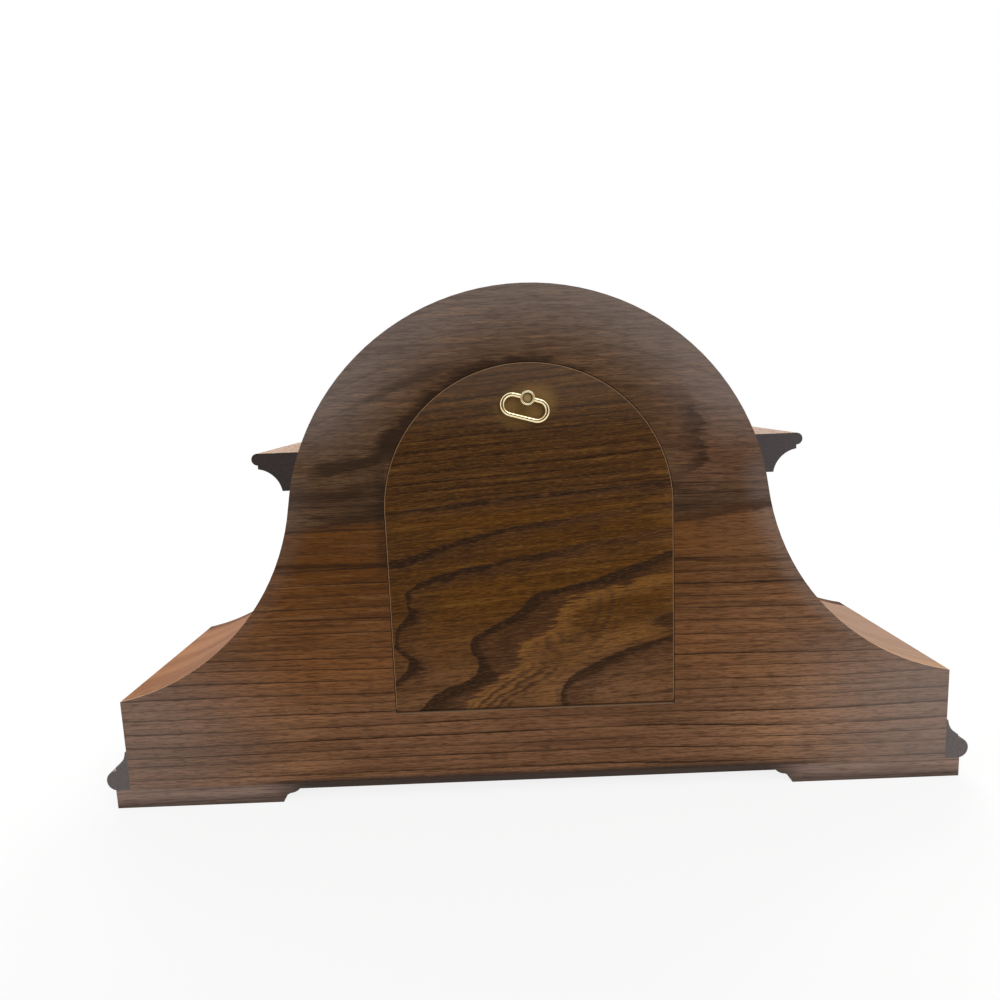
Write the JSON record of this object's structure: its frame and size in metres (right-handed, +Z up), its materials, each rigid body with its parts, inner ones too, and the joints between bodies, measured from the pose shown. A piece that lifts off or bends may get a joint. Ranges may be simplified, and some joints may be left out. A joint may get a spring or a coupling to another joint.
{
  "type": "shelf clock",
  "caption": "Bell-shaped wooden shelf clock with a round dial behind a hinged bezel, key-wound movement with hour strike, and an arched access door with a ring pull in its back.",
  "frame": {"origin": "on the shelf, at the centre of the whole clock's box", "axes": "+X along the width, to the right seen from the dial; +Y from the dial to the access door; +Z up"},
  "size_m": [0.4494, 0.1462, 0.259],
  "materials": {
    "walnut_veneer": "dark walnut veneer, satin lacquer",
    "door_veneer": "figured walnut veneer, satin lacquer",
    "shoulder_wood": "reddish lacquered veneer on the curved skins",
    "moulding_wood": "dark stained solid wood",
    "inner_board": "bare board",
    "polished_brass": "polished and lacquered",
    "movement_brass": "brushed plates and wheels",
    "blued_steel": "blued",
    "arbor_steel": "turned",
    "spring_steel": "tempered",
    "gong_iron": "black painted casting",
    "dial_face": "ivory painted sheet",
    "dome_glass": "clear domed glass",
    "magnet_black": "black moulded magnet holder"
  },
  "bodies": {
    "case": {"front_board": "walnut_veneer", "back_panel": "walnut_veneer", "arch_skin": "shoulder_wood", "right_shoulder_skin": "shoulder_wood", "left_shoulder_skin": "shoulder_wood", "right_end_panel": "walnut_veneer", "left_end_panel": "walnut_veneer", "bottom_board": "inner_board", "right_cornice": "moulding_wood", "left_cornice": "moulding_wood", "base_moulding_front": "moulding_wood", "base_moulding_right": "moulding_wood", "base_moulding_left": "moulding_wood", "plinth_rail_front": "moulding_wood", "plinth_rail_rear": "walnut_veneer", "plinth_rail_right": "moulding_wood", "plinth_rail_left": "moulding_wood", "door_pivot_pins": "polished_brass", "door_magnet": "magnet_black", "dial_plate": "dial_face", "bezel_hinge_leaf": "polished_brass", "bezel_hinge_pin": "arbor_steel", "movement_front_plate": "movement_brass", "movement_back_plate": "movement_brass", "plate_pillars": "arbor_steel", "pillar_nuts": "polished_brass", "mounting_posts": "arbor_steel", "click_spring": "spring_steel", "escapement_platform": "movement_brass", "balance_cock": "movement_brass", "gong_block": "gong_iron", "gong_rods": "arbor_steel"},
    "access_door": {"access_door": "door_veneer", "door_strike_plate": "arbor_steel", "pull_stud": "polished_brass"},
    "pull_ring": {"pull_ring": "polished_brass"},
    "bezel": {"bezel_ring": "polished_brass", "bezel_glass": "dome_glass", "bezel_hinge_knuckle": "polished_brass", "bezel_finger_tab": "polished_brass"},
    "minute_hand": {"centre_arbor": "arbor_steel", "centre_wheel": "movement_brass", "cannon_pinion": "arbor_steel", "minute_hand": "blued_steel", "hand_nut": "polished_brass"},
    "hour_hand": {"hour_wheel": "movement_brass", "hour_hand": "blued_steel"},
    "minute_wheel": {"minute_wheel": "movement_brass"},
    "spring_barrel": {"spring_barrel": "movement_brass", "barrel_cap": "movement_brass", "mainspring": "spring_steel"},
    "third_wheel": {"third_arbor": "arbor_steel", "third_wheel": "movement_brass"},
    "winding_arbor": {"winding_arbor": "arbor_steel", "ratchet_wheel": "arbor_steel"},
    "ratchet_click": {"ratchet_click": "arbor_steel"},
    "balance": {"balance_wheel": "movement_brass", "hairspring": "spring_steel"},
    "hammer": {"hammer_arbor": "arbor_steel", "hammer_heads": "polished_brass"}
  },
  "joints": [
    {"name": "door_tilt", "type": "hinge", "parent": "case", "child": "access_door", "pos_m": [0, 0.0641, 0.0489], "axis": [-1, 0, 0], "range_deg": [0, 95]},
    {"name": "ring_swing", "type": "hinge", "parent": "access_door", "child": "pull_ring", "pos_m": [-0.0009, 0.069, 0.205], "axis": [0.9613, 0, 0.2756], "range_deg": [0, 160]},
    {"name": "bezel_open", "type": "hinge", "parent": "case", "child": "bezel", "pos_m": [0.0856, -0.0636, 0.139], "axis": [0, 0, 1], "range_deg": [0, 100]},
    {"name": "minute_hand_turn", "type": "hinge", "parent": "case", "child": "minute_hand", "pos_m": [0, -0.0394, 0.139], "axis": [0, 1, 0], "continuous": true},
    {"name": "hour_hand_turn", "type": "hinge", "parent": "case", "child": "hour_hand", "pos_m": [0, -0.0394, 0.139], "axis": [0, 1, 0], "continuous": true},
    {"name": "minute_wheel_turn", "type": "hinge", "parent": "case", "child": "minute_wheel", "pos_m": [-0.0144, -0.0394, 0.139], "axis": [0, 1, 0], "continuous": true},
    {"name": "barrel_turn", "type": "hinge", "parent": "case", "child": "spring_barrel", "pos_m": [0, -0.0394, 0.1027], "axis": [0, 1, 0], "continuous": true},
    {"name": "third_wheel_turn", "type": "hinge", "parent": "case", "child": "third_wheel", "pos_m": [0, -0.0394, 0.1615], "axis": [0, 1, 0], "continuous": true},
    {"name": "winding_turn", "type": "hinge", "parent": "case", "child": "winding_arbor", "pos_m": [0, -0.0394, 0.1027], "axis": [0, 1, 0], "continuous": true},
    {"name": "click_lift", "type": "hinge", "parent": "case", "child": "ratchet_click", "pos_m": [0.02, -0.0394, 0.119], "axis": [0, 1, 0], "range_deg": [0, 8], "stiffness_Nm_per_rad": 0.002, "springref_deg": -11.46},
    {"name": "balance_swing", "type": "hinge", "parent": "case", "child": "balance", "pos_m": [0, -0.0394, 0.1755], "axis": [0, 1, 0], "range_deg": [-135, 135], "stiffness_Nm_per_rad": 0.00005},
    {"name": "hammer_lift", "type": "hinge", "parent": "case", "child": "hammer", "pos_m": [-0.034, -0.0394, 0.079], "axis": [0, 1, 0], "range_deg": [0, 15]}
  ],
  "couplings": [
    {"joint": "hour_hand_turn", "follows": "minute_hand_turn", "ratio": 0.083333},
    {"joint": "minute_wheel_turn", "follows": "minute_hand_turn", "ratio": -0.33333},
    {"joint": "barrel_turn", "follows": "minute_hand_turn", "ratio": -0.1},
    {"joint": "third_wheel_turn", "follows": "minute_hand_turn", "ratio": -8}
  ]
}
